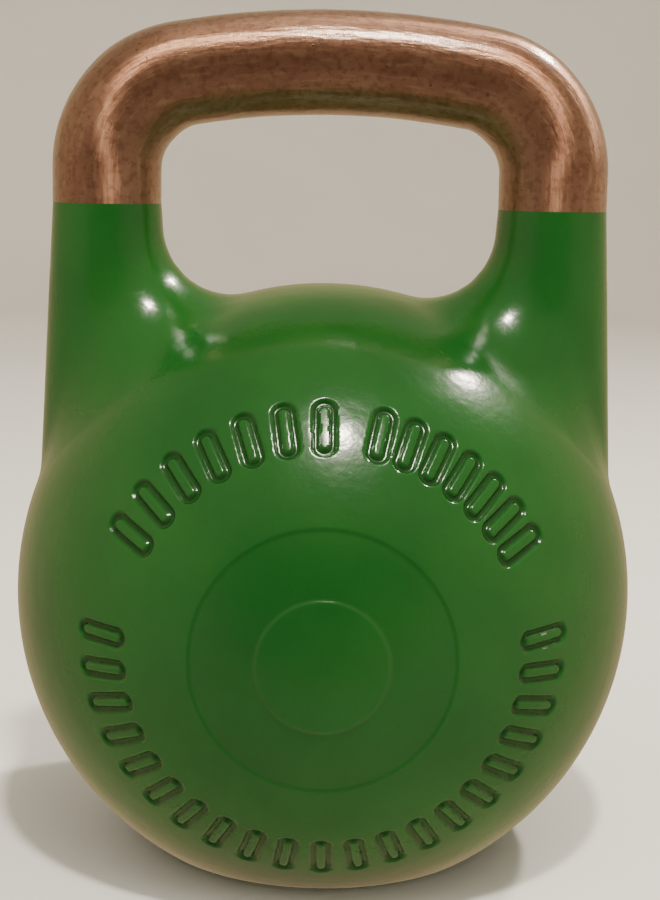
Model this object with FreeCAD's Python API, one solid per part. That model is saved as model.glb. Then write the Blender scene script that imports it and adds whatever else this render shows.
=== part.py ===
import FreeCAD, Part
import math
import os

# Competition kettlebell: a hollow cast ball with two horns, a bare steel handle bow welded
# on top of the horns, ballast and foam inside, and a screw plug in the flat base.
#
# Frame: millimetres, origin on the floor at the centre of the base, +Z up, +X towards the
# right horn. The engraved face looks along -Y.

Vector = FreeCAD.Vector

# Ball.
BALL_D = 210.0            # outside diameter of the ball
BALL_Z = 86.8             # height of the ball's centre over the floor
BASE_EDGE_R = 4.0         # rounding between the flat base and the ball
WALL = 9.0                # wall of the hollow ball
FLOOR_T = 13.0            # thickness of the flat floor inside

# Horns: the two cast legs that carry the handle.
JOINT_Z = BALL_Z + 131.0  # height of the flat joint between horn and handle
LEG_X = 75.05             # distance of each leg from the middle at the joint
LEG_D = 36.4              # leg diameter at the joint
HORN_TAPER = 0.06         # growth of the horn's radius per mm downwards
HORN_LEAN = 0.01          # lean of the horn's axis towards the middle, per mm downwards
HORN_ROOT = 111.0         # length of the horn below the joint, into the ball
ROOT_SPLIT_X = 65.0       # distance from the middle of the plane where that rounding is widest
ROOT_ROUNDING = {         # rounding between horn and ball, by distance from the middle
    54.0: 22.0,           # inside the window
    ROOT_SPLIT_X: 62.0,   # front and back
    98.0: 23.0,           # outer side
}

# Handle bow: straight leg, corner arc, shallow crown arc.
CROWN_Z = BALL_Z + 178.5  # height of the bar's centreline in the middle
CROWN_R = 280.0           # radius of the crown arc
CORNER_R = 32.0           # radius of the corner arc, on the centreline
GRIP_D = 34.4             # bar diameter in the middle of the grip
GRIP_FROM = 45.0          # bend angle where the bar starts to thin towards the grip
GRIP_TO = 85.0            # bend angle where it has its grip diameter
FOOT_SPARE = 8.0          # length lofted past each foot and cut off
LEG_STEPS = 5
CORNER_STEPS = 12
CROWN_STEPS = 4

# Joint between horn and handle: dowel inside, bevel weld outside.
DOWEL_D = 14.0
DOWEL_L = 40.0
DOWEL_CHAMFER = 1.0
DOWEL_END_GAP = 0.5
FIT_GAP = 0.02            # clearance round the dowels and between the gasket and the neck
WELD_DEPTH = 5.2          # depth and height of the bevel that the weld fills

# Filling opening and its plug, in the floor.
SEAT_D = 72.0             # recess that holds the plug's flange
SEAT_DEPTH = 8.0
OPENING_D = 42.0
FLANGE_D = 71.0
FLANGE_T = 5.0
NECK_D = 41.8
NECK_L = 6.5              # from the flange's inner face upwards
KEY_AF = 14.0             # hexagon socket, across flats
KEY_DEPTH = 9.0
EDGE_CHAMFER = 0.8
GASKET_T = 2.0
GASKET_OD = 54.0
SCREW_AT = 31.0           # distance of the lock screw from the plug's axis
SCREW_D = 5.0
SCREW_HEAD_D = 9.0
SCREW_HEAD_T = 2.5
SCREW_L = 9.5
SCREW_KEY_AF = 3.0
SCREW_KEY_DEPTH = 2.0
SCREW_HOLE_GAP = 0.1
SCREW_FLOOR = 1.0         # metal left between the screw's hole and the cavity

# Filling.
FILL_GAP = 0.1            # gap between the filling and the wall
BALLAST_TOP = BALL_Z - 4.5

# Engraved marks on the front: a ring of plain outlined pills round a plain round recess.
MARK_DEPTH = 1.2
RING_INNER = 60.0         # radii as seen from the front
RING_OUTER = 75.0
MARK_ARCS = [             # count, first and last angle from +X towards +Z, pill width, stroke
    (7, 150.0, 90.5, 7.2, 2.0),
    (7, 76.0, 29.0, 7.2, 2.0),
    (21, 177.5, 363.6, 6.4, 1.8),
]
ROUNDEL_INNER = 20.0
ROUNDEL_OUTER = 40.0

OVERCUT = 1.0             # how far a cutting tool runs past the face it cuts
TOUCH = 0.05              # how near counts as on a surface, when edges are looked for
BALL_R = BALL_D / 2
LEG_R = LEG_D / 2
BALL_CENTRE = Vector(0, 0, BALL_Z)
UP = Vector(0, 0, 1)
PLUG_FACE_Z = SEAT_DEPTH - GASKET_T - FLANGE_T

# The corner arc touches the leg's straight line and, from inside, the crown arc.
CENTRE_GAP = CROWN_R - CORNER_R
CROWN_BEND = math.degrees(math.acos((LEG_X - CORNER_R) / CENTRE_GAP))
CORNER_Z = CROWN_Z - CROWN_R + CENTRE_GAP * math.sin(math.radians(CROWN_BEND))


def ball(radius):
    """A ball about the kettlebell's centre, its seam turned to the back."""
    solid = Part.makeSphere(radius)
    solid.rotate(Vector(0, 0, 0), UP, 90)
    solid.translate(BALL_CENTRE)
    return solid


def cylinder(diameter, bottom, top, x=0.0):
    """An upright cylinder between two heights."""
    return Part.makeCylinder(diameter / 2, top - bottom, Vector(x, 0, bottom))


def hexagon(across_flats, bottom, top, x=0.0):
    """An upright hexagonal prism between two heights."""
    corner = across_flats / math.sqrt(3)
    angles = [math.radians(60 * i) for i in range(7)]
    points = [Vector(x + corner * math.cos(a), corner * math.sin(a), bottom) for a in angles]
    return Part.Face(Part.makePolygon(points)).extrude(Vector(0, 0, top - bottom))


def slab(bottom, top):
    """A block wide enough to cut the whole object between two heights."""
    return Part.makeBox(2 * BALL_D, 2 * BALL_D, top - bottom, Vector(-BALL_D, -BALL_D, bottom))


def level_circles(shape, height, radius, x=0.0):
    """The level circular edges of one radius at one height, about an axis at x."""
    found = []
    for edge in shape.Edges:
        box = edge.BoundBox
        level = abs(box.ZMin - height) < TOUCH and abs(box.ZMax - height) < TOUCH
        if level and abs(box.XMax - x - radius) < TOUCH:
            found.append(edge)
    return found


def horn(side):
    """One horn: a cone that widens downwards and leans towards the middle."""
    above = LEG_D / 2
    upwards = Vector(side * HORN_LEAN, 0, 1)
    root = Vector(side * LEG_X, 0, JOINT_Z) - upwards * HORN_ROOT
    root_r = LEG_R + HORN_TAPER * HORN_ROOT
    tip_r = LEG_R - HORN_TAPER * above
    solid = Part.makeCone(root_r, tip_r, (HORN_ROOT + above) * upwards.Length, root, upwards)
    return solid.cut(slab(JOINT_Z, JOINT_Z + LEG_D))


def wall(origin, across, up):
    """A flat square face, wider than the object, through a point and along two directions."""
    corners = [(-1, -1), (1, -1), (1, 1), (-1, 1), (-1, -1)]
    return Part.Face(Part.makePolygon([origin + (across * i + up * j) * 2 * BALL_D for i, j in corners]))


def quartered(solid):
    """The same solid with its faces parted where the rounding of the horn roots changes."""
    sideways = Vector(1, 0, 0)
    walls = [wall(BALL_CENTRE, sideways, UP)]
    for side in (-1, 1):
        walls.append(wall(BALL_CENTRE + sideways * side * ROOT_SPLIT_X, Vector(0, 1, 0), UP))
    pieces = solid.generalFuse(walls)[0].Solids
    return pieces[0].fuse(pieces[1:]).Solids[0]


def root_radius(point):
    """Radius of the rounding at one end of a root edge."""
    nearest = min(ROOT_ROUNDING, key=lambda distance: abs(distance - abs(point.x)))
    return ROOT_ROUNDING[nearest]


def horn_roots(solid):
    """The curved edges where the horns meet the ball: number, first and last radius."""
    found = []
    for number, edge in enumerate(solid.Edges, 1):
        if edge.Degenerated or edge.Curve.TypeId == "Part::GeomCircle":
            continue
        middle = edge.valueAt((edge.FirstParameter + edge.LastParameter) / 2)
        if abs(middle.distanceToPoint(BALL_CENTRE) - BALL_R) < TOUCH:
            ends = [root_radius(edge.Vertexes[k].Point) for k in (0, -1)]
            found.append((number, *ends))
    return found


def rounded_roots(solid):
    """The solid with a rounding that widens from the window to the front of each horn."""
    document = FreeCAD.newDocument()
    base = document.addObject("Part::Feature")
    base.Shape = quartered(solid)
    rounding = document.addObject("Part::Fillet")
    rounding.Base = base
    rounding.Edges = horn_roots(base.Shape)
    document.recompute()
    shape = rounding.Shape.copy()
    FreeCAD.closeDocument(document.Name)
    return shape.removeSplitter().Solids[0]


def casting():
    """Ball and horns as one solid casting, before it is hollowed."""
    solid = rounded_roots(ball(BALL_R).fuse([horn(-1), horn(1)]).removeSplitter().Solids[0])
    solid = solid.cut(slab(-BALL_R, 0)).Solids[0]
    base_r = math.sqrt(BALL_R ** 2 - BALL_Z ** 2)
    return solid.makeFillet(BASE_EDGE_R, level_circles(solid, 0, base_r)).Solids[0]


def pill(width, length):
    """A face in the XZ plane: a pill along X."""
    half = width / 2
    end = length / 2 - half
    top = Part.LineSegment(Vector(-end, 0, half), Vector(end, 0, half))
    right = Part.Arc(Vector(end, 0, half), Vector(end + half, 0, 0), Vector(end, 0, -half))
    under = Part.LineSegment(Vector(end, 0, -half), Vector(-end, 0, -half))
    left = Part.Arc(Vector(-end, 0, -half), Vector(-end - half, 0, 0), Vector(-end, 0, half))
    return Part.Face(Part.Wire([curve.toShape() for curve in (top, right, under, left)]))


def ring_marks():
    """The pills' outlines of the engraved ring, as faces in the plane through the ball's centre."""
    length = RING_OUTER - RING_INNER
    radius = (RING_OUTER + RING_INNER) / 2
    marks = []
    for count, start, stop, width, stroke in MARK_ARCS:
        outline = pill(width, length).cut(pill(width - 2 * stroke, length - 2 * stroke))
        for i in range(count):
            mark = outline.copy()
            mark.translate(Vector(radius, 0, 0))
            angle = start + (stop - start) * i / (count - 1)
            mark.rotate(Vector(0, 0, 0), Vector(0, -1, 0), angle)
            marks.append(mark)
    return marks


def engraving():
    """The thin curved tiles that the marks take out of the ball's front."""
    outer = Part.Face(Part.Wire(Part.makeCircle(ROUNDEL_OUTER, Vector(0, 0, 0), Vector(0, 1, 0))))
    inner = Part.Face(Part.Wire(Part.makeCircle(ROUNDEL_INNER, Vector(0, 0, 0), Vector(0, 1, 0))))
    faces = ring_marks() + [outer.cut(inner)]
    prisms = [face.extrude(Vector(0, -BALL_D, 0)) for face in faces]
    for prism in prisms:
        prism.translate(BALL_CENTRE)
    skin = ball(BALL_R + MARK_DEPTH).cut(ball(BALL_R - MARK_DEPTH))
    return [skin.common(prism) for prism in prisms]


def ball_shell():
    """The painted casting: hollow ball, filling opening and a dowel bore in each horn."""
    floor = slab(-BALL_R, FLOOR_T)
    cavity = ball(BALL_R - WALL).cut(floor)
    tools = [
        cavity,
        cylinder(SEAT_D, 0, SEAT_DEPTH),
        cylinder(OPENING_D, 0, FLOOR_T),
        cylinder(SCREW_D, SEAT_DEPTH, FLOOR_T - SCREW_FLOOR, SCREW_AT),
        dowel_bore(-1),
        dowel_bore(1),
    ]
    return casting().cut(tools + engraving()).Solids[0]


def bend_place(bend):
    """Centre of the bar's section on the right half, by bend angle: 0 at the leg, 90 in the middle."""
    corner = Vector(LEG_X - CORNER_R, 0, CORNER_Z)
    crown = Vector(0, 0, CROWN_Z - CROWN_R)
    direction = Vector(math.cos(math.radians(bend)), 0, math.sin(math.radians(bend)))
    if bend <= CROWN_BEND:
        return corner + direction * CORNER_R
    return crown + direction * CROWN_R


def bar_radius(bend):
    """The bar is thickest through the corner and thins smoothly towards the grip."""
    share = min(max((bend - GRIP_FROM) / (GRIP_TO - GRIP_FROM), 0), 1)
    eased = share * share * (3 - 2 * share)
    return (LEG_D + (GRIP_D - LEG_D) * eased) / 2


def section(place, bend, radius):
    """A circle across the bar, for a bend angle from 0 at the right leg to 180 at the left leg."""
    wire = Part.Wire(Part.makeCircle(radius))
    wire.Placement = FreeCAD.Placement(place, FreeCAD.Rotation(Vector(0, -1, 0), bend))
    return wire


def bow():
    """The whole handle bar, lofted a little past its two feet and cut flat at the joints."""
    right = []
    foot_z = JOINT_Z - FOOT_SPARE
    for i in range(LEG_STEPS):
        height = foot_z + (CORNER_Z - foot_z) * i / LEG_STEPS
        right.append((Vector(LEG_X, 0, height), 0, LEG_R))
    bends = [CROWN_BEND * i / CORNER_STEPS for i in range(CORNER_STEPS + 1)]
    bends += [CROWN_BEND + (90 - CROWN_BEND) * (i + 1) / CROWN_STEPS for i in range(CROWN_STEPS)]
    right += [(bend_place(bend), bend, bar_radius(bend)) for bend in bends]
    left = [(Vector(-place.x, 0, place.z), 180 - bend, radius) for place, bend, radius in right[-2::-1]]
    sections = [section(*row) for row in right + left]
    return Part.makeLoft(sections, True, False).cut(slab(0, JOINT_Z)).Solids[0]


def weld_groove(side):
    """The 45 degree bevel round the foot of one leg, a little oversize for a clean cut."""
    height = WELD_DEPTH + 2 * OVERCUT
    foot = Vector(side * LEG_X, 0, JOINT_Z - OVERCUT)
    core = Part.makeCone(LEG_R - WELD_DEPTH - OVERCUT, LEG_R + OVERCUT, height, foot)
    return Part.makeCylinder(LEG_R + WELD_DEPTH, height, foot).cut(core)


def dowel_bore(side):
    """The blind bore for one dowel, half in the horn and half in the handle."""
    half = DOWEL_L / 2 + DOWEL_END_GAP
    return cylinder(DOWEL_D + 2 * FIT_GAP, JOINT_Z - half, JOINT_Z + half, side * LEG_X)


def handle_bow(bar):
    """The bare steel handle, bevelled for the welds and bored for the dowels."""
    tools = [cut(side) for cut in (weld_groove, dowel_bore) for side in (-1, 1)]
    return bar.cut(tools).Solids[0]


def weld(bar, side):
    """One ring weld, ground flush with the leg."""
    return bar.common(weld_groove(side)).Solids[0]


def dowel(side):
    """One steel dowel with chamfered ends."""
    bottom = JOINT_Z - DOWEL_L / 2
    top = JOINT_Z + DOWEL_L / 2
    pin = cylinder(DOWEL_D, bottom, top, side * LEG_X)
    ends = level_circles(pin, bottom, DOWEL_D / 2, side * LEG_X)
    ends += level_circles(pin, top, DOWEL_D / 2, side * LEG_X)
    return pin.makeChamfer(DOWEL_CHAMFER, ends).Solids[0]


def base_plug():
    """The filling plug: flange, neck, hexagon socket and a countersink for the lock screw."""
    flange_top = PLUG_FACE_Z + FLANGE_T
    body = cylinder(FLANGE_D, PLUG_FACE_Z, flange_top)
    body = body.makeChamfer(EDGE_CHAMFER, level_circles(body, PLUG_FACE_Z, FLANGE_D / 2))
    neck = cylinder(NECK_D, flange_top, flange_top + NECK_L)
    neck = neck.makeChamfer(EDGE_CHAMFER, level_circles(neck, flange_top + NECK_L, NECK_D / 2))
    socket = hexagon(KEY_AF, PLUG_FACE_Z, PLUG_FACE_Z + KEY_DEPTH)
    wide = SCREW_HEAD_D + 2 * SCREW_HOLE_GAP
    narrow = SCREW_D + 2 * SCREW_HOLE_GAP
    countersink = screw_head(wide / 2, narrow / 2)
    hole = cylinder(narrow, PLUG_FACE_Z, flange_top, SCREW_AT)
    return body.fuse(neck).removeSplitter().cut([socket, countersink, hole]).Solids[0]


def screw_head(outer, inner):
    """The lock screw's cone, or the countersink for it."""
    return Part.makeCone(outer, inner, SCREW_HEAD_T, Vector(SCREW_AT, 0, PLUG_FACE_Z))


def plug_lock_screw():
    """A countersunk screw through the flange that keeps the plug from turning."""
    head = screw_head(SCREW_HEAD_D / 2, SCREW_D / 2)
    shank = cylinder(SCREW_D, PLUG_FACE_Z, PLUG_FACE_Z + SCREW_L, SCREW_AT)
    socket = hexagon(SCREW_KEY_AF, PLUG_FACE_Z, PLUG_FACE_Z + SCREW_KEY_DEPTH, SCREW_AT)
    return head.fuse(shank).removeSplitter().cut(socket).Solids[0]


def plug_gasket():
    """The flat seal between the flange and the floor of its recess."""
    bottom = SEAT_DEPTH - GASKET_T
    ring = cylinder(GASKET_OD, bottom, SEAT_DEPTH)
    return ring.cut(cylinder(NECK_D + 2 * FIT_GAP, bottom, SEAT_DEPTH)).Solids[0]


def filling():
    """Everything that fits inside the ball's cavity."""
    return ball(BALL_R - WALL - FILL_GAP)


def ballast():
    """The iron ballast in the lower half of the cavity."""
    return filling().common(slab(FLOOR_T + FILL_GAP, BALLAST_TOP)).Solids[0]


def foam_packing():
    """The foam that holds the ballast down, in the upper half of the cavity."""
    return filling().cut(slab(-BALL_R, BALLAST_TOP + FILL_GAP)).Solids[0]


def main():
    os.makedirs("parts", exist_ok=True)
    bar = bow()
    parts = {
        "ball_shell": ball_shell(),
        "handle_bow": handle_bow(bar),
        "weld_left": weld(bar, -1),
        "weld_right": weld(bar, 1),
        "dowel_left": dowel(-1),
        "dowel_right": dowel(1),
        "base_plug": base_plug(),
        "plug_gasket": plug_gasket(),
        "plug_lock_screw": plug_lock_screw(),
        "ballast": ballast(),
        "foam_packing": foam_packing(),
    }
    for name, shape in parts.items():
        shape.exportStep(f"parts/{name}.step")
        print(f"{name}: {shape.ShapeType}, valid {shape.isValid()}, {shape.Volume / 1000:.1f} cm3")


main()
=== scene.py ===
import math

import bmesh
import bpy
import numpy as np
from mathutils import Matrix, Vector, noise


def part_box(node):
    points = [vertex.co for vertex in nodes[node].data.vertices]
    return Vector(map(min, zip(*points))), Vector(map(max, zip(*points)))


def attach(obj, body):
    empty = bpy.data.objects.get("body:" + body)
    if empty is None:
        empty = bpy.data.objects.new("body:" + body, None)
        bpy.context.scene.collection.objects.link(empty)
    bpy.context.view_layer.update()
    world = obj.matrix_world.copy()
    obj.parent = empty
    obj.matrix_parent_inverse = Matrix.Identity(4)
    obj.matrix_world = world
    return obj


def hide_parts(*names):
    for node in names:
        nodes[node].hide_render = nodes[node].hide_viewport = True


# Kettlebell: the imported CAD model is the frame, and this script gives it its looks.
# Metres, in the CAD's own frame: base on the floor, +Z up, engraved face towards -Y.

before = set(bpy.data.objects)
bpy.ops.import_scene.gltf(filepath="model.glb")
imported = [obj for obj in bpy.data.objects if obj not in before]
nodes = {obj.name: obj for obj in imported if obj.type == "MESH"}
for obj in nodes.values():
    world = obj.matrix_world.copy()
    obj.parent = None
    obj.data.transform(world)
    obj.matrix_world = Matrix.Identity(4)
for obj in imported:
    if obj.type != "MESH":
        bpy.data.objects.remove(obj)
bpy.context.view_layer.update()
MM = 0.001

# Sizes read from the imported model.
shell_low, shell_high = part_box("ball_shell")
weld_low, weld_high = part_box("weld_right")
bow_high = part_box("handle_bow")[1]
BALL_R = (shell_high.y - shell_low.y) / 2
JOINT_Z = shell_high.z
LEG_X = (weld_low.x + weld_high.x) / 2
TOP_Z = bow_high.z

# Sizes that the box of a node doesn't show, as in the CAD.
BALL_Z = 86.8 * MM
LEG_R = 18.2 * MM
GRIP_R = 17.2 * MM
BASE_EDGE_R = 4 * MM
HORN_TAPER = 0.06         # growth of the horn's radius, and lean of its axis, per length downwards
HORN_LEAN = 0.01
CORNER_R = 32 * MM
CROWN_R = 280 * MM
GRIP_FROM = math.radians(45)
GRIP_TO = math.radians(85)
WELD_DEPTH = 5.2 * MM
SEAT_R = 36 * MM
SEAT_DEPTH = 8 * MM
OPENING_R = 21 * MM
FLOOR_T = 13 * MM
WALL = 9 * MM
BALL_CENTRE = np.array([0.0, 0.0, BALL_Z])

# Rounding between horn and ball. Its radius changes with the turn round the horn, in degrees:
# 0 in the window, 90 in front, 180 outside.
ROOT_WINDOW_R = 23.4 * MM
ROOT_FRONT_R = 47.5 * MM
ROOT_OUTER_R = 23 * MM
ROOT_TURNS = (10, 119, 162)   # window radius up to here, front radius here, outer radius from here
ROOT_RISE = 1.27
FILLET_ROUNDS = 10
FILLET_SPARE = 1.5 * MM
COSINE_LIMIT = 0.985          # above this the two skins run side by side and have no rounding

# The bow's centreline: straight leg, corner arc, shallow crown arc.
CORNER_X = LEG_X - CORNER_R
CROWN_Z = TOP_Z - GRIP_R
CORNER_GAP = CROWN_R - CORNER_R
CROWN_BEND = math.acos(CORNER_X / CORNER_GAP)
CORNER_Z = CROWN_Z - CROWN_R + CORNER_GAP * math.sin(CROWN_BEND)
LEG_LENGTH = CORNER_Z - JOINT_Z
HALF_LENGTH = LEG_LENGTH + CORNER_R * CROWN_BEND + CROWN_R * (math.pi / 2 - CROWN_BEND)

# Engraving, measured along the ball's skin from the middle of the front.
RING_INNER = BALL_R * math.asin(60 * MM / BALL_R)
RING_OUTER = BALL_R * math.asin(75 * MM / BALL_R)
MARK_ARCS = [                 # count, first and last angle from +X towards +Z, pill width, stroke
    (7, 150.0, 90.5, 7.2 * MM, 2.0 * MM),
    (7, 76.0, 29.0, 7.2 * MM, 2.0 * MM),
    (21, 177.5, 363.6, 6.4 * MM, 1.8 * MM),
]
ROUNDEL = (BALL_R * math.asin(20 * MM / BALL_R), BALL_R * math.asin(40 * MM / BALL_R))
MARK_DEPTH = 1.2 * MM
ROUNDEL_DEPTH = 0.50 * MM
ROUNDEL_SHADE = 0.12          # how much of the grooves' painted shade, a darker green, the roundel takes
EDGE_SOFT = 0.55 * MM

# How finely the meshes are made.
VOXEL = 2.3 * MM
BALL_SUBDIVISIONS = 6
HORN_SEGMENTS = 96
HORN_LENGTH = 100 * MM        # rough horn, down into the ball
HORN_SPARE = 4 * MM           # its length past the joint, cut off later
RELAX_ROUNDS = 6
REFINE_NEAR = (3.0 * MM, 1.6 * MM)
EASE_FACTORS = (0.60, -0.62)  # in and out again
EASE_ROUNDS = 40
EASE_JOINT = (14 * MM, 8 * MM)  # each: where the smoothing of the valleys ends, and how fast it fades
EASE_LOW = (55 * MM, 12 * MM)
EASE_SIDE = (58 * MM, 10 * MM)
TURN_STEPS = 96
CAVITY_STEPS = 32
TOOL_SPARE = 5 * MM           # how far the cutting tool starts below the base
RING_STEPS = 144
BOW_RINGS = 170
WELD_RINGS = 5
UV_PER_METRE = 10
UNEVEN = ((14 * MM, 3.1, 0.10 * MM), (5 * MM, 8.4, 0.03 * MM))  # size, seed and height
SHELL_CREASE = math.radians(50)
BAR_CREASE = math.radians(35)

# Colours, linear.
GREEN_DARK = (0.007, 0.073, 0.0105)
GREEN_LIGHT = (0.0115, 0.090, 0.013)
GREEN_FLECK = (0.006, 0.059, 0.009)
# Darker green painted into the engraved grooves as shade.
GREEN_GROOVE_SHADE = (0.004, 0.038, 0.005)
BROWN_DARK = (0.27, 0.120, 0.065)
BROWN = (0.35, 0.170, 0.100)
BROWN_LIGHT = (0.42, 0.225, 0.135)
BROWN_BRIGHT = (0.58, 0.38, 0.22)
BROWN_GRAIN = (0.26, 0.12, 0.08)
BROWN_PIT = (0.10, 0.045, 0.03)
BROWN_MOTTLE = (0.15, 0.06, 0.03)
PLUG_TONES = ((0.018, 0.019, 0.021), (0.045, 0.046, 0.05))
PLUG_RING = (0.10, 0.10, 0.105)
RUBBER_TONES = ((0.012,) * 3, (0.025,) * 3)
SCREW_TONES = ((0.42, 0.40, 0.34), (0.55, 0.53, 0.47))
BALLAST_TONES = ((0.05, 0.05, 0.052), (0.12, 0.115, 0.11))
FOAM_TONES = ((0.58, 0.49, 0.30), (0.72, 0.63, 0.42))
DOWEL_TONES = ((0.48, 0.48, 0.49), (0.60, 0.60, 0.61))
FLOOR_TONES = ((0.80, 0.775, 0.74), (0.84, 0.82, 0.79))
BLACK = (0, 0, 0)
GREY = (0.5, 0.5, 0.5)
DIM_GREY = (0.45, 0.45, 0.45)
WHITE = (1, 1, 1)

# Stage: a flat floor, then a curve up into a wall.
FLOOR_RINGS = (0.3, 0.8, 2.2)
CURVE_R = 0.8
CURVE_STEPS = 16
BACKDROP_TOP = 3.0

# Light. A direction is a turn from the front towards +X and a lift over the horizon, in degrees.
CEILING_LAMP = (11, 66)
BACK_LAMP = (128, 47)
FRONT = (0, 7)
WARM = (1.0, 0.93, 0.80)
PALE = (1.0, 0.95, 0.88)
LAMPS = [                     # name, direction, distance, side, power, colour, roll, shown by the gloss
    ("ceiling_lamp", CEILING_LAMP, 1.6, 0.11, 27, WARM, 0, True),
    ("back_lamp", BACK_LAMP, 1.6, 0.11, 20, WARM, 25, True),
    ("left_fill", (-60, 50), 1.8, 1.2, 9, PALE, 0, False),
    ("right_fill", (50, 40), 1.8, 1.2, 6, PALE, 0, False),
]
CEILING = (0.34, 0.29, 0.20)
CEILING_EDGE = (0.35, 0.75)   # height of a unit direction where the ceiling starts, and where it is full
WORLD_BANDS = [               # from straight in front of the kettlebell to straight behind it
    (0.0, (0.04, 0.035, 0.03)),
    (0.05, (0.08, 0.07, 0.055)),
    (0.14, (0.30, 0.24, 0.20)),
    (0.26, (0.44, 0.36, 0.25)),
    (0.6, (0.55, 0.43, 0.26)),
    (1.0, (0.66, 0.48, 0.27)),
]
WORLD_GLOWS = [               # direction, tightness, strength
    (CEILING_LAMP, 80.0, 7.0),
    (BACK_LAMP, 70.0, 4.0),
]

# Camera: a little above, almost straight from the front, slightly rolled.
CAMERA_FROM = (-0.322, 9.221)
CAMERA_ROLL = math.radians(1.069)
CAMERA_DISTANCE = 609.73 * MM
CAMERA_TARGET = (1.576 * MM, 0, BALL_Z + 47.77 * MM)
CAMERA_LENS = 70.7
CAMERA_SENSOR = 36
CAMERA_CLIP = (0.01, 20)


# ---------------------------------------------------------------- small helpers

def unit(rows):
    """Each row at length 1."""
    return rows / np.maximum(np.linalg.norm(rows, axis=1, keepdims=True), 1e-12)


def smoothstep(x):
    """0 below 0 and 1 above 1, with a smooth step between."""
    x = np.clip(x, 0, 1)
    return x * x * (3 - 2 * x)


def direction(turn, lift):
    """A unit direction: turn in degrees from the front towards +X, lift above the horizon."""
    turn, lift = math.radians(turn), math.radians(lift)
    return Vector((math.sin(turn) * math.cos(lift), -math.cos(turn) * math.cos(lift), math.sin(lift)))


def read_points(mesh):
    points = np.zeros(len(mesh.vertices) * 3, np.float32)
    mesh.vertices.foreach_get("co", points)
    return points.reshape(-1, 3).astype(float)


def write_points(mesh, points):
    mesh.vertices.foreach_set("co", points.astype(np.float32).ravel())
    mesh.update()


def new_object(name, mesh):
    piece = bpy.data.objects.new(name, mesh)
    bpy.context.scene.collection.objects.link(piece)
    return piece


def mesh_of(name, points, faces):
    mesh = bpy.data.meshes.new(name)
    mesh.from_pydata([tuple(p) for p in points], [], faces)
    mesh.update()
    return mesh


def applied(piece):
    """The piece with its modifiers worked into its mesh."""
    depsgraph = bpy.context.evaluated_depsgraph_get()
    mesh = bpy.data.meshes.new_from_object(piece.evaluated_get(depsgraph))
    piece.modifiers.clear()
    piece.data = mesh
    return piece


def split_large_faces(sheet):
    bmesh.ops.triangulate(sheet, faces=[f for f in sheet.faces if len(f.verts) > 4])


def waviness(points, size, seed):
    """Smooth unevenness from -1 to 1 at each point, with bumps of about that size."""
    shift = Vector((seed, seed * 0.7, seed * 1.3))
    return np.array([noise.noise(Vector(p) / size + shift) for p in points])


def turned_points(profile, steps):
    """A ring of points about Z for each (radius, height) of the profile."""
    angles = [2 * math.pi * i / steps for i in range(steps)]
    return [(radius * math.cos(a), radius * math.sin(a), height)
            for radius, height in profile for a in angles]


def lathe(name, profile, steps):
    """A closed mesh turned about Z from (radius, height) points; its ends lie on the axis."""
    points = [(0, 0, profile[0][1])] + turned_points(profile[1:-1], steps) + [(0, 0, profile[-1][1])]
    faces = []
    rings = len(profile) - 2
    last = len(points) - 1
    for i in range(steps):
        j = (i + 1) % steps
        faces.append((0, 1 + j, 1 + i))
        for ring in range(rings - 1):
            a = 1 + ring * steps
            b = a + steps
            faces.append((a + i, a + j, b + j, b + i))
        top = 1 + (rings - 1) * steps
        faces.append((top + i, top + j, last))
    return mesh_of(name, points, faces)


# ---------------------------------------------------------------- ball shell

def horn_distance(points):
    """Distance to the right horn's cone, and the cone's outward direction, at each point."""
    down = np.array([-HORN_LEAN, 0, -1.0])
    down /= np.linalg.norm(down)
    from_joint = points - np.array([LEG_X, 0, JOINT_Z])
    along = from_joint @ down
    across = from_joint - along[:, None] * down
    radius = np.linalg.norm(across, axis=1)
    slope = math.atan(HORN_TAPER)
    distance = (radius - LEG_R - HORN_TAPER * along) * math.cos(slope)
    outward = unit(across) * math.cos(slope) - down * math.sin(slope)
    return distance, outward


def ball_distance(points):
    """Distance to the ball, and its outward direction, at each point."""
    offset = points - BALL_CENTRE
    return np.linalg.norm(offset, axis=1) - BALL_R, unit(offset)


def root_radius(centre):
    """The rounding's radius at each centre of the ball that rolls between horn and ball."""
    first, peak, last = ROOT_TURNS
    turn = np.degrees(np.arctan2(np.abs(centre[:, 1]), LEG_X - centre[:, 0]))
    rise = smoothstep((turn - first) / (peak - first)) ** ROOT_RISE
    fall = smoothstep((turn - peak) / (last - peak))
    return ROOT_WINDOW_R + (ROOT_FRONT_R - ROOT_WINDOW_R) * rise - (ROOT_FRONT_R - ROOT_OUTER_R) * fall


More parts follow.
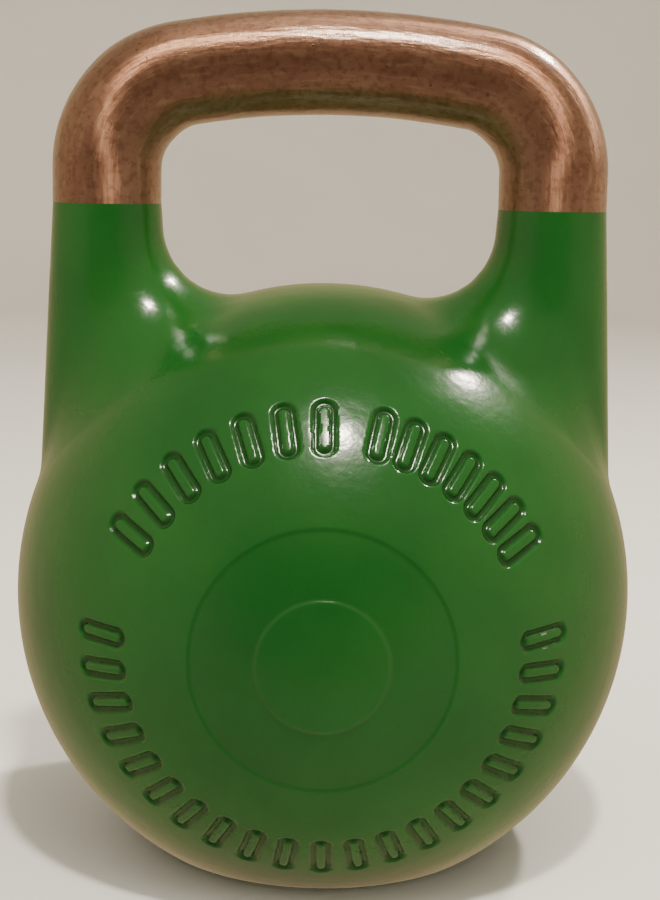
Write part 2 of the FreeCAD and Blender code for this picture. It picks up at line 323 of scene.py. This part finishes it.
def onto_casting(points):
    """Each point moved onto the casting's skin: ball, horns, the rounding between them and the base."""
    side = np.where(points[:, 0] < 0, -1.0, 1.0)
    mirror = np.stack([side, np.ones_like(side), np.ones_like(side)], 1)
    p = points * mirror
    ball, ball_out = ball_distance(p)
    horn, horn_out = horn_distance(p)
    centre = p.copy()
    for _ in range(FILLET_ROUNDS):
        rounding = root_radius(centre)
        a, out_a = ball_distance(centre)
        b, out_b = horn_distance(centre)
        cosine = np.minimum((out_a * out_b).sum(1), COSINE_LIMIT)
        u = rounding - a
        v = rounding - b
        spread = 1 - cosine ** 2
        centre = centre + ((u - v * cosine) / spread)[:, None] * out_a
        centre = centre + ((v - u * cosine) / spread)[:, None] * out_b
    back = p - centre
    u = -(back * out_a).sum(1)
    v = -(back * out_b).sum(1)
    in_fillet = (u - v * cosine > 0) & (v - u * cosine > 0) & (cosine < COSINE_LIMIT)
    in_fillet &= np.maximum(ball, horn) < rounding * (1 - cosine) + FILLET_SPARE
    in_fillet &= p[:, 2] > BALL_Z
    on_ball = p - ball[:, None] * ball_out
    on_horn = p - horn[:, None] * horn_out
    use_horn = (horn < ball) & (p[:, 2] > BALL_Z)
    result = np.where(use_horn[:, None], on_horn, on_ball)
    result = np.where(in_fillet[:, None], centre + unit(back) * rounding[:, None], result)
    return onto_base(result * mirror)


def onto_base(points):
    """Points of the ball near the floor moved onto the flat base and its rounded edge."""
    ring_z = BASE_EDGE_R
    ring_r = math.sqrt((BALL_R - BASE_EDGE_R) ** 2 - (BALL_Z - ring_z) ** 2)
    radius = np.maximum(np.hypot(points[:, 0], points[:, 1]), 1e-9)
    flat = points[:, :2] / radius[:, None]
    # The rounding reaches from the flat to where the ball's own slope takes over.
    ball_slope = math.atan2(ring_r, BALL_Z - ring_z)
    turn = np.arctan2(radius - ring_r, ring_z - points[:, 2])
    rounded = (radius > ring_r) & (turn < ball_slope) & (points[:, 2] < 3 * BASE_EDGE_R)
    on_flat = (radius <= ring_r) & (points[:, 2] < BALL_Z / 2)
    result = points.copy()
    result[on_flat, 2] = 0
    reach = ring_r + BASE_EDGE_R * np.sin(turn[rounded])
    result[rounded, :2] = flat[rounded] * reach[:, None]
    result[rounded, 2] = ring_z - BASE_EDGE_R * np.cos(turn[rounded])
    return result


def rough_casting():
    """Overlapping ball and cones as one voxel skin, with the horns a little too long."""
    sheet = bmesh.new()
    bmesh.ops.create_icosphere(sheet, subdivisions=BALL_SUBDIVISIONS, radius=BALL_R,
                               matrix=Matrix.Translation((0, 0, BALL_Z)))
    for side in (-1, 1):
        upwards = Vector((side * HORN_LEAN, 0, 1)).normalized()
        middle = Vector((side * LEG_X, 0, JOINT_Z)) + upwards * (HORN_SPARE - HORN_LENGTH / 2)
        turn = Vector((0, 0, 1)).rotation_difference(upwards).to_matrix().to_4x4()
        bmesh.ops.create_cone(sheet, cap_ends=True, segments=HORN_SEGMENTS,
                              radius1=LEG_R + HORN_TAPER * (HORN_LENGTH - HORN_SPARE),
                              radius2=LEG_R - HORN_TAPER * HORN_SPARE, depth=HORN_LENGTH,
                              matrix=Matrix.Translation(middle) @ turn)
    mesh = bpy.data.meshes.new("casting")
    sheet.to_mesh(mesh)
    sheet.free()
    piece = new_object("casting", mesh)
    remesh = piece.modifiers.new("skin", "REMESH")
    remesh.mode = "VOXEL"
    remesh.voxel_size = VOXEL
    remesh.adaptivity = 0
    return applied(piece)


def relax(mesh, rounds):
    """Evens out the spacing of the points, keeping them on the casting's skin."""
    sheet = bmesh.new()
    sheet.from_mesh(mesh)
    for _ in range(rounds):
        bmesh.ops.smooth_vert(sheet, verts=sheet.verts, factor=0.5,
                              use_axis_x=True, use_axis_y=True, use_axis_z=True)
        points = onto_casting(np.array([v.co for v in sheet.verts]))
        for vert, point in zip(sheet.verts, points):
            vert.co = point
    sheet.to_mesh(mesh)
    sheet.free()


def eased(mesh, points):
    """The valleys between horns and ball smoothed, without shrinking, so that no crease shows."""
    height = points[:, 2]
    share = smoothstep((JOINT_Z - EASE_JOINT[0] - height) / EASE_JOINT[1])
    share *= smoothstep((height - BALL_Z - EASE_LOW[0]) / EASE_LOW[1])
    share *= smoothstep((EASE_SIDE[0] - np.abs(points[:, 1])) / EASE_SIDE[1])
    ends = np.zeros(len(mesh.edges) * 2, np.int32)
    mesh.edges.foreach_get("vertices", ends)
    first, second = ends.reshape(-1, 2).T
    count = len(points)
    neighbours = np.bincount(ends, minlength=count)[:, None]
    for factor in EASE_FACTORS * EASE_ROUNDS:
        total = [np.bincount(first, points[second, k], count) + np.bincount(second, points[first, k], count)
                 for k in range(3)]
        points = points + (factor * share)[:, None] * (np.stack(total, 1) / neighbours - points)
    return points


def ring_polar(points):
    """Distance along the skin from the front's middle, turn from +X towards +Z, angle at the centre."""
    offset = points - BALL_CENTRE
    from_pole = np.arccos(np.clip(-offset[:, 1] / BALL_R, -1, 1))
    turn = np.degrees(np.arctan2(offset[:, 2], offset[:, 0])) % 360
    return from_pole * BALL_R, turn, from_pole


def arc_edge(reach, turn, from_pole, arc):
    """Signed distance to the nearest pill's stroke in one arc, below 0 inside the stroke."""
    count, start, stop, width, stroke = arc
    step = (stop - start) / (count - 1)
    past = (turn - start) * math.copysign(1, step) % 360
    past = np.where(past > 180 + abs(stop - start) / 2, past - 360, past)
    index = np.clip(np.round(past / abs(step)), 0, count - 1)
    sideways = np.radians(past - index * abs(step)) * BALL_R * np.sin(from_pole)
    lengthways = reach - (RING_INNER + RING_OUTER) / 2
    half = (RING_OUTER - RING_INNER) / 2 - width / 2
    beyond = np.maximum(np.abs(lengthways) - half, 0)
    edge = np.hypot(beyond, sideways) - width / 2
    return np.abs(edge + stroke / 2) - stroke / 2


def mark_edges(points):
    """Signed distance to the ring's strokes and to the roundel's recess."""
    reach, turn, from_pole = ring_polar(points)
    ring = np.min([arc_edge(reach, turn, from_pole, arc) for arc in MARK_ARCS], axis=0)
    middle = sum(ROUNDEL) / 2
    roundel = np.abs(reach - middle) - (ROUNDEL[1] - ROUNDEL[0]) / 2
    return ring, roundel


def refine_marks(mesh):
    """Finer faces where the marks' edges run."""
    sheet = bmesh.new()
    sheet.from_mesh(mesh)
    for near in REFINE_NEAR:
        middles = np.array([(e.verts[0].co + e.verts[1].co) / 2 for e in sheet.edges])
        ring, roundel = mark_edges(middles)
        wanted = (ring < near) | (np.abs(roundel) < near)
        wanted &= middles[:, 1] < 0
        edges = [e for e, take in zip(sheet.edges, wanted) if take]
        bmesh.ops.subdivide_edges(sheet, edges=edges, cuts=1, use_grid_fill=True)
    split_large_faces(sheet)
    sheet.to_mesh(mesh)
    sheet.free()


def engraved_and_shaded(points):
    """Points of the front pushed in along the marks, and the painted shade there: how much darker the green
    gets, 0 to 1.
    """
    ring, roundel = mark_edges(points)
    front = points[:, 1] < 0
    ring_share = smoothstep(0.5 - ring / (2 * EDGE_SOFT)) * front
    roundel_share = smoothstep(0.5 - roundel / (2 * EDGE_SOFT)) * front
    depth = ring_share * MARK_DEPTH + roundel_share * ROUNDEL_DEPTH
    inward = unit(BALL_CENTRE - points)
    return points + inward * depth[:, None], ring_share + ROUNDEL_SHADE * roundel_share


def flatten_top(mesh):
    """Cuts the horns flat at the joint and closes them."""
    sheet = bmesh.new()
    sheet.from_mesh(mesh)
    cut = bmesh.ops.bisect_plane(sheet, geom=sheet.verts[:] + sheet.edges[:] + sheet.faces[:],
                                 plane_co=(0, 0, JOINT_Z), plane_no=(0, 0, 1), clear_outer=True)
    rim = [g for g in cut["geom_cut"] if isinstance(g, bmesh.types.BMEdge)]
    bmesh.ops.holes_fill(sheet, edges=rim, sides=0)
    split_large_faces(sheet)
    bmesh.ops.recalc_face_normals(sheet, faces=sheet.faces[:])
    sheet.to_mesh(mesh)
    sheet.free()


def hollow_tool():
    """What is cut out of the casting: the plug's seat, the filling opening and the cavity."""
    inner = BALL_R - WALL
    low = math.asin((FLOOR_T - BALL_Z) / inner)
    arc = [low + (math.pi / 2 - low) * i / CAVITY_STEPS for i in range(CAVITY_STEPS + 1)]
    profile = [(0, -TOOL_SPARE), (SEAT_R, -TOOL_SPARE), (SEAT_R, SEAT_DEPTH), (OPENING_R, SEAT_DEPTH),
               (OPENING_R, FLOOR_T)]
    profile += [(inner * math.cos(a), BALL_Z + inner * math.sin(a)) for a in arc]
    return new_object("hollow_tool", lathe("hollow_tool", profile, TURN_STEPS))


def hollow_out(piece):
    tool = hollow_tool()
    cut = piece.modifiers.new("hollow", "BOOLEAN")
    cut.operation = "DIFFERENCE"
    cut.solver = "EXACT"
    cut.object = tool
    applied(piece)
    bpy.data.objects.remove(tool)


def make_ball_shell():
    piece = rough_casting()
    write_points(piece.data, onto_casting(read_points(piece.data)))
    relax(piece.data, RELAX_ROUNDS)
    refine_marks(piece.data)
    points = eased(piece.data, onto_casting(read_points(piece.data)))
    # The second result is painted shade for the grooves, kept as a point attribute for the enamel.
    points, groove_shade = engraved_and_shaded(points)
    write_points(piece.data, points)
    attribute = piece.data.attributes.new("engraved_and_shaded", "FLOAT", "POINT")
    attribute.data.foreach_set("value", groove_shade.astype(np.float32))
    flatten_top(piece.data)
    hollow_out(piece)
    piece.name = "ball_shell_skin"
    piece.data.shade_smooth()
    piece.data.set_sharp_from_angle(angle=SHELL_CREASE)
    return piece


# ---------------------------------------------------------------- handle and welds

def bar_at(run):
    """Centre, outward direction and radius of the bar, by distance from the right joint to the middle."""
    if run < LEG_LENGTH:
        return np.array([LEG_X, 0, JOINT_Z + run]), np.array([1.0, 0, 0]), LEG_R
    run = run - LEG_LENGTH
    bend = run / CORNER_R
    middle = np.array([CORNER_X, 0, CORNER_Z])
    arc_r = CORNER_R
    if bend > CROWN_BEND:
        bend = CROWN_BEND + (run - CORNER_R * CROWN_BEND) / CROWN_R
        middle = np.array([0, 0, CROWN_Z - CROWN_R])
        arc_r = CROWN_R
    outward = np.array([math.cos(bend), 0, math.sin(bend)])
    thinned = float(smoothstep(np.array((bend - GRIP_FROM) / (GRIP_TO - GRIP_FROM))))
    return middle + outward * arc_r, outward, LEG_R + (GRIP_R - LEG_R) * thinned


def bar_ring(run, shrink=0.0):
    """One ring of points round the bar; run goes on past the middle to the left joint."""
    left = run > HALF_LENGTH
    centre, outward, radius = bar_at(2 * HALF_LENGTH - run if left else run)
    if left:
        centre = centre * np.array([-1, 1, 1])
        outward = outward * np.array([-1, 1, 1])
    angles = np.arange(RING_STEPS) * 2 * math.pi / RING_STEPS
    across = np.cos(angles)[:, None] * outward + np.sin(angles)[:, None] * np.array([0, 1.0, 0])
    return centre + across * (radius - shrink)


def skin_rings(runs):
    """Rings of the bar's hand-ground skin, with very shallow hollows and flats, one per run."""
    rows = []
    for run in runs:
        row = bar_ring(run)
        height = sum(waviness(row, size, seed) * high for size, seed, high in UNEVEN)
        rows.append(row + unit(row - row.mean(0)) * height[:, None])
    return rows


def add_bar_uv(mesh, runs):
    """Length along the bar and way round it as UV, at the same scale."""
    layer = mesh.uv_layers.new(name="along_bar")
    girth = 2 * math.pi * LEG_R
    for polygon in mesh.polygons:
        places = [mesh.loops[k].vertex_index for k in polygon.loop_indices]
        at_seam = any(place % RING_STEPS > RING_STEPS / 2 for place in places)
        for loop_index, place in zip(polygon.loop_indices, places):
            turn = place % RING_STEPS / RING_STEPS
            if turn == 0 and at_seam:
                turn = 1.0
            run = runs[place // RING_STEPS]
            layer.data[loop_index].uv = (run * UV_PER_METRE, turn * girth * UV_PER_METRE)


def tube(name, rows, runs, closed):
    """A skin through rings of points; closed joins the last ring to the first, otherwise it gets caps."""
    faces = []
    count = len(rows)
    for k in range(count if closed else count - 1):
        a = k * RING_STEPS
        b = (k + 1) % count * RING_STEPS
        for i in range(RING_STEPS):
            j = (i + 1) % RING_STEPS
            faces.append((a + i, b + i, b + j, a + j))
    if not closed:
        faces.append(tuple(range(RING_STEPS)))
        faces.append(tuple(reversed(range((count - 1) * RING_STEPS, count * RING_STEPS))))
    mesh = mesh_of(name, np.concatenate(rows), faces)
    add_bar_uv(mesh, runs)
    sheet = bmesh.new()
    sheet.from_mesh(mesh)
    split_large_faces(sheet)
    bmesh.ops.recalc_face_normals(sheet, faces=sheet.faces[:])
    sheet.to_mesh(mesh)
    sheet.free()
    mesh.shade_smooth()
    mesh.set_sharp_from_angle(angle=BAR_CREASE)
    return new_object(name, mesh)


def make_handle():
    """The bow's skin between the two weld grooves, with a bevelled foot at each end."""
    length = 2 * HALF_LENGTH
    runs = [WELD_DEPTH + (length - 2 * WELD_DEPTH) * i / BOW_RINGS for i in range(BOW_RINGS + 1)]
    rows = [bar_ring(0, WELD_DEPTH)] + skin_rings(runs) + [bar_ring(length, WELD_DEPTH)]
    return tube("handle_bow_skin", rows, [0] + runs + [length], False)


def make_weld(name, left):
    """The ring of weld metal that fills one groove."""
    runs = [WELD_DEPTH * i / WELD_RINGS for i in range(WELD_RINGS + 1)]
    if left:
        runs = [2 * HALF_LENGTH - run for run in runs]
    inner = [bar_ring(run, WELD_DEPTH * (1 - i / WELD_RINGS)) for i, run in enumerate(runs[:-1])]
    return tube(name, skin_rings(runs) + inner[::-1], runs + runs[-2::-1], True)


# ---------------------------------------------------------------- materials
# Noise scales are in cells per metre, and bump distances in metres.

def material(name):
    made = bpy.data.materials.new(name)
    made.use_nodes = True
    return made, made.node_tree, made.node_tree.nodes["Principled BSDF"]


def feed(tree, socket, value):
    """A socket's value, or its link when the value is another node's output."""
    if isinstance(value, bpy.types.NodeSocket):
        tree.links.new(value, socket)
    else:
        socket.default_value = value


def add(tree, kind, inputs=None, **settings):
    """A shader node with its settings and its sockets' values or links."""
    made = tree.nodes.new(kind)
    for key, value in settings.items():
        setattr(made, key, value)
    for key, value in (inputs or {}).items():
        feed(tree, made.inputs[key], value)
    return made


def place_of(tree):
    return add(tree, "ShaderNodeTexCoord").outputs["Object"]


def cloud(tree, vector, scale, detail=2.0, rough=0.5):
    inputs = {"Vector": vector, "Scale": scale, "Detail": detail, "Roughness": rough}
    return add(tree, "ShaderNodeTexNoise", inputs).outputs["Fac"]


def ramp(tree, factor, *stops):
    """A colour ramp from (position, colour) stops."""
    made = add(tree, "ShaderNodeValToRGB", {"Fac": factor})
    band = made.color_ramp
    band.elements[0].position, band.elements[0].color = stops[0][0], (*stops[0][1], 1)
    band.elements[1].position, band.elements[1].color = stops[-1][0], (*stops[-1][1], 1)
    for position, colour in stops[1:-1]:
        band.elements.new(position).color = (*colour, 1)
    return made.outputs["Color"]


def span(tree, factor, low, high):
    """A number mapped from 0..1 to low..high."""
    made = add(tree, "ShaderNodeMapRange", {"Value": factor, "To Min": low, "To Max": high})
    return made.outputs["Result"]


def mix(tree, factor, a, b, blend="MIX"):
    """Two colours mixed; each is a colour or another node's output."""
    made = tree.nodes.new("ShaderNodeMix")
    made.data_type = "RGBA"
    made.blend_type = blend
    for key, value in (("Factor", factor), ("A", a), ("B", b)):
        socket = [s for s in made.inputs if s.name == key and s.enabled][0]
        feed(tree, socket, (*value, 1) if isinstance(value, tuple) else value)
    return [s for s in made.outputs if s.enabled][0]


def bump(tree, height, distance, strength=1.0, below=None):
    """A bumped normal, on top of the normal below it."""
    inputs = {"Height": height, "Distance": distance, "Strength": strength}
    if below is not None:
        inputs["Normal"] = below
    return add(tree, "ShaderNodeBump", inputs).outputs["Normal"]


def enamel():
    """Glossy green paint with an orange peel, over a slightly wavy casting; painted shade darkens the green
    in the grooves.
    """
    made, tree, shader = material("green_enamel")
    where = place_of(tree)
    broad = cloud(tree, where, scale=22, detail=3)
    green = ramp(tree, broad, (0.35, GREEN_DARK), (0.65, GREEN_LIGHT))
    fine = cloud(tree, where, scale=900)
    green = mix(tree, span(tree, fine, low=0, high=0.30), green, GREEN_FLECK)
    # Painted shade: the green darkens in the engraved grooves and a little in the roundel.
    groove_shade = add(tree, "ShaderNodeAttribute", attribute_name="engraved_and_shaded").outputs["Fac"]
    green = mix(tree, span(tree, groove_shade, low=0, high=0.8), green, GREEN_GROOVE_SHADE)
    gloss = span(tree, cloud(tree, where, scale=60, detail=4), low=0.15, high=0.21)
    peel = bump(tree, cloud(tree, where, scale=420), distance=0.00006)
    cast = bump(tree, cloud(tree, where, scale=55), distance=0.00030, below=peel)
    shader.inputs["IOR"].default_value = 1.5
    tree.links.new(green, shader.inputs["Base Color"])
    tree.links.new(gloss, shader.inputs["Roughness"])
    tree.links.new(cast, shader.inputs["Normal"])
    return made


def steel(name):
    """Hand-ground bar: gloss drawn out along the bar, mottled brown patina, a few small pits."""
    made, tree, shader = material(name)
    where = place_of(tree)
    along = add(tree, "ShaderNodeUVMap", uv_map="along_bar").outputs["UV"]
    stretched = [add(tree, "ShaderNodeMapping", {"Vector": along, "Scale": stretch}).outputs["Vector"]
                 for stretch in ((1.5, 9.0, 1.0), (30.0, 5.0, 1.0))]
    lengthwise, crosswise = stretched
    streak = cloud(tree, lengthwise, scale=5, detail=4)
    grain = cloud(tree, crosswise, scale=8, detail=4, rough=0.6)
    blotch = cloud(tree, where, scale=55, detail=5, rough=0.6)
    mottle = cloud(tree, where, scale=420, detail=3, rough=0.6)
    spots = ramp(tree, cloud(tree, where, scale=700), (0.70, BLACK), (0.76, WHITE))

    brown = ramp(tree, blotch, (0.30, BROWN_DARK), (0.52, BROWN), (0.75, BROWN_LIGHT))
    brown = mix(tree, ramp(tree, streak, (0.52, BLACK), (0.78, GREY)), brown, BROWN_BRIGHT)
    brown = mix(tree, span(tree, grain, low=0, high=0.25), brown, BROWN_GRAIN)
    brown = mix(tree, spots, brown, BROWN_PIT)
    brown = mix(tree, ramp(tree, mottle, (0.48, BLACK), (0.62, DIM_GREY)), brown, BROWN_MOTTLE)

    speckle = bump(tree, mottle, distance=0.00007)
    ground = bump(tree, grain, distance=0.00005, below=speckle)
    hollows = bump(tree, streak, distance=0.00020, below=ground)
    uneven = bump(tree, spots, distance=0.00006, strength=0.5, below=hollows)
    tangent = add(tree, "ShaderNodeTangent", direction_type="UV_MAP", uv_map="along_bar")

    shader.inputs["Metallic"].default_value = 0.85
    shader.inputs["Anisotropic"].default_value = 0.9
    shader.inputs["Coat Weight"].default_value = 1.0
    shader.inputs["Coat Roughness"].default_value = 0.18
    tree.links.new(brown, shader.inputs["Base Color"])
    tree.links.new(tangent.outputs["Tangent"], shader.inputs["Tangent"])
    tree.links.new(span(tree, blotch, low=0.38, high=0.56), shader.inputs["Roughness"])
    tree.links.new(uneven, shader.inputs["Normal"])
    tree.links.new(uneven, shader.inputs["Coat Normal"])
    return made


def plain_metal(name, tones, roughness, metallic, scale):
    """Machined or cast metal without a direction: two tones, a varying gloss and a fine grain."""
    made, tree, shader = material(name)
    where = place_of(tree)
    tone = cloud(tree, where, scale, detail=4)
    grain = cloud(tree, where, scale * 12, detail=3)
    shader.inputs["Metallic"].default_value = metallic
    tree.links.new(ramp(tree, tone, (0.35, tones[0]), (0.65, tones[1])), shader.inputs["Base Color"])
    tree.links.new(span(tree, tone, roughness - 0.08, roughness + 0.08), shader.inputs["Roughness"])
    tree.links.new(bump(tree, grain, distance=0.00008), shader.inputs["Normal"])
    return made


def turned_metal(name):
    """The plug: blackened face with the rings of a lathe tool about Z."""
    made, tree, shader = material(name)
    where = place_of(tree)
    parts = add(tree, "ShaderNodeSeparateXYZ", {"Vector": where})
    square = [add(tree, "ShaderNodeMath", {0: parts.outputs[k], 1: parts.outputs[k]}, operation="MULTIPLY")
              for k in ("X", "Y")]
    total = add(tree, "ShaderNodeMath", {0: square[0].outputs[0], 1: square[1].outputs[0]}, operation="ADD")
    radius = add(tree, "ShaderNodeMath", {0: total.outputs[0]}, operation="SQRT").outputs[0]
    rings = add(tree, "ShaderNodeTexNoise", {"W": radius, "Scale": 1800.0, "Detail": 3.0},
                noise_dimensions="1D").outputs["Fac"]
    tone = cloud(tree, where, scale=120, detail=4)
    dark = ramp(tree, tone, (0.3, PLUG_TONES[0]), (0.7, PLUG_TONES[1]))
    dark = mix(tree, span(tree, rings, low=0, high=0.4), dark, PLUG_RING)
    shader.inputs["Metallic"].default_value = 0.8
    tree.links.new(dark, shader.inputs["Base Color"])
    tree.links.new(span(tree, tone, low=0.32, high=0.5), shader.inputs["Roughness"])
    tree.links.new(bump(tree, rings, distance=0.00005), shader.inputs["Normal"])
    return made


def soft_material(name, tones, scale, roughness):
    """Rubber or foam: two tones and a grain."""
    made, tree, shader = material(name)
    tone = cloud(tree, place_of(tree), scale, detail=3)
    tree.links.new(ramp(tree, tone, (0.4, tones[0]), (0.6, tones[1])), shader.inputs["Base Color"])
    tree.links.new(span(tree, tone, roughness - 0.05, roughness), shader.inputs["Roughness"])
    tree.links.new(bump(tree, tone, distance=0.0002), shader.inputs["Normal"])
    return made


def floor_material():
    made, tree, shader = material("floor")
    tone = cloud(tree, place_of(tree), scale=3, detail=3)
    colour = ramp(tree, tone, (0.3, FLOOR_TONES[0]), (0.7, FLOOR_TONES[1]))
    shader.inputs["Roughness"].default_value = 0.9
    tree.links.new(colour, shader.inputs["Base Color"])
    return made


def paint_node(name, made):
    """Gives a CAD node its material."""
    nodes[name].data.materials.clear()
    nodes[name].data.materials.append(made)


def finish_piece(piece, made, slot, *replaced):
    """Gives a new piece its material and its body, and hides the CAD nodes that it stands for. The slot is
    not used.
    """
    piece.data.materials.clear()
    piece.data.materials.append(made)
    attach(piece, "root")
    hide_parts(*replaced)


# ---------------------------------------------------------------- stage, light and camera

def make_floor():
    """A pale round floor that curves up into a pale wall all round."""
    profile = [(radius, 0) for radius in FLOOR_RINGS]
    for i in range(1, CURVE_STEPS + 1):
        angle = math.pi / 2 * i / CURVE_STEPS
        profile.append((FLOOR_RINGS[-1] + CURVE_R * math.sin(angle), CURVE_R - CURVE_R * math.cos(angle)))
    profile.append((FLOOR_RINGS[-1] + CURVE_R, BACKDROP_TOP))
    points = [(0, 0, 0)] + turned_points(profile, TURN_STEPS)
    faces = []
    for i in range(TURN_STEPS):
        j = (i + 1) % TURN_STEPS
        faces.append((0, 1 + i, 1 + j))
        for ring in range(len(profile) - 1):
            a = 1 + ring * TURN_STEPS
            b = a + TURN_STEPS
            faces.append((a + i, b + i, b + j, a + j))
    floor = new_object("floor", mesh_of("floor", points, faces))
    floor.data.shade_smooth()
    floor.data.materials.append(floor_material())
    floor.visible_glossy = False


def softbox(name, aim, distance, side, power, colour, roll, in_gloss):
    """A square area light that looks at the kettlebell's middle."""
    lamp = bpy.data.lights.new(name, "AREA")
    lamp.shape = "SQUARE"
    lamp.size = side
    lamp.energy = power
    lamp.color = colour
    target = Vector((0, 0, BALL_Z + 0.5 * BALL_R))
    holder = bpy.data.objects.new(name, lamp)
    holder.location = target + direction(*aim) * distance
    facing = (holder.location - target).to_track_quat("Z", "Y")
    holder.rotation_euler = (facing.to_matrix() @ Matrix.Rotation(math.radians(roll), 3, "Z")).to_euler()
    holder.visible_camera = False
    holder.visible_glossy = in_gloss
    bpy.context.scene.collection.objects.link(holder)


def glow(tree, where, facing, tightness, colour, strength):
    """A round glow in the world about one direction."""
    aim = add(tree, "ShaderNodeVectorMath", {0: where, 1: tuple(facing)}, operation="DOT_PRODUCT")
    ahead = add(tree, "ShaderNodeMath", {0: aim.outputs["Value"], 1: 0.0}, operation="MAXIMUM")
    tight = add(tree, "ShaderNodeMath", {0: ahead.outputs[0], 1: tightness}, operation="POWER")
    return mix(tree, tight.outputs[0], BLACK, tuple(strength * c for c in colour))


def make_world():
    """What the gloss sees: a warm room, dark right in front, with soft glows round the two lamps."""
    world = bpy.data.worlds.new("room")
    bpy.context.scene.world = world
    world.use_nodes = True
    tree = world.node_tree
    where = add(tree, "ShaderNodeTexCoord").outputs["Generated"]
    front = {0: where, 1: tuple(direction(*FRONT))}
    depth = add(tree, "ShaderNodeVectorMath", front, operation="DOT_PRODUCT").outputs["Value"]
    share = add(tree, "ShaderNodeMapRange", {"Value": depth, "From Min": 1.0, "From Max": -1.0})
    light = ramp(tree, share.outputs["Result"], *WORLD_BANDS)
    height = add(tree, "ShaderNodeSeparateXYZ", {"Vector": where}).outputs["Z"]
    above = ramp(tree, height, (CEILING_EDGE[0], BLACK), (CEILING_EDGE[1], WHITE))
    light = mix(tree, above, light, CEILING)
    for aim, tightness, strength in WORLD_GLOWS:
        light = mix(tree, 1.0, light, glow(tree, where, direction(*aim), tightness, WARM, strength), "ADD")
    tree.links.new(light, tree.nodes["Background"].inputs["Color"])


def make_camera():
    backwards = direction(*CAMERA_FROM)
    side = (-backwards).cross(Vector((0, 0, 1))).normalized()
    up = side.cross(-backwards)
    cosine, sine = math.cos(CAMERA_ROLL), math.sin(CAMERA_ROLL)
    side, up = side * cosine + up * sine, up * cosine - side * sine
    lens = bpy.data.cameras.new("camera")
    lens.sensor_width = CAMERA_SENSOR
    lens.lens = CAMERA_LENS
    lens.clip_start, lens.clip_end = CAMERA_CLIP
    camera = bpy.data.objects.new("camera", lens)
    spot = Vector(CAMERA_TARGET) + backwards * CAMERA_DISTANCE
    camera.matrix_world = Matrix((
        (side.x, up.x, backwards.x, spot.x),
        (side.y, up.y, backwards.y, spot.y),
        (side.z, up.z, backwards.z, spot.z),
        (0, 0, 0, 1)))
    bpy.context.scene.collection.objects.link(camera)
    bpy.context.scene.camera = camera


# ---------------------------------------------------------------- build

make_camera()
make_floor()
for lamp_row in LAMPS:
    softbox(*lamp_row)
make_world()

finish_piece(make_ball_shell(), enamel(), "green_enamel", "ball_shell")
bare_steel = steel("bare_steel")
finish_piece(make_handle(), bare_steel, "bare_steel", "handle_bow")
finish_piece(make_weld("weld_right_skin", False), bare_steel, "weld_steel", "weld_right")
finish_piece(make_weld("weld_left_skin", True), bare_steel, "weld_steel", "weld_left")

paint_node("base_plug", turned_metal("plug_iron"))
paint_node("plug_gasket", soft_material("gasket_rubber", RUBBER_TONES, scale=300, roughness=0.75))
screw_steel = plain_metal("screw_steel", SCREW_TONES, roughness=0.32, metallic=1.0, scale=200)
paint_node("plug_lock_screw", screw_steel)
paint_node("ballast", plain_metal("ballast_iron", BALLAST_TONES, roughness=0.62, metallic=0.9, scale=60))
paint_node("foam_packing", soft_material("packing_foam", FOAM_TONES, scale=150, roughness=0.9))
dowel_steel = plain_metal("dowel_steel", DOWEL_TONES, roughness=0.30, metallic=1.0, scale=150)
paint_node("dowel_left", dowel_steel)
paint_node("dowel_right", dowel_steel)

bpy.context.view_layer.update()
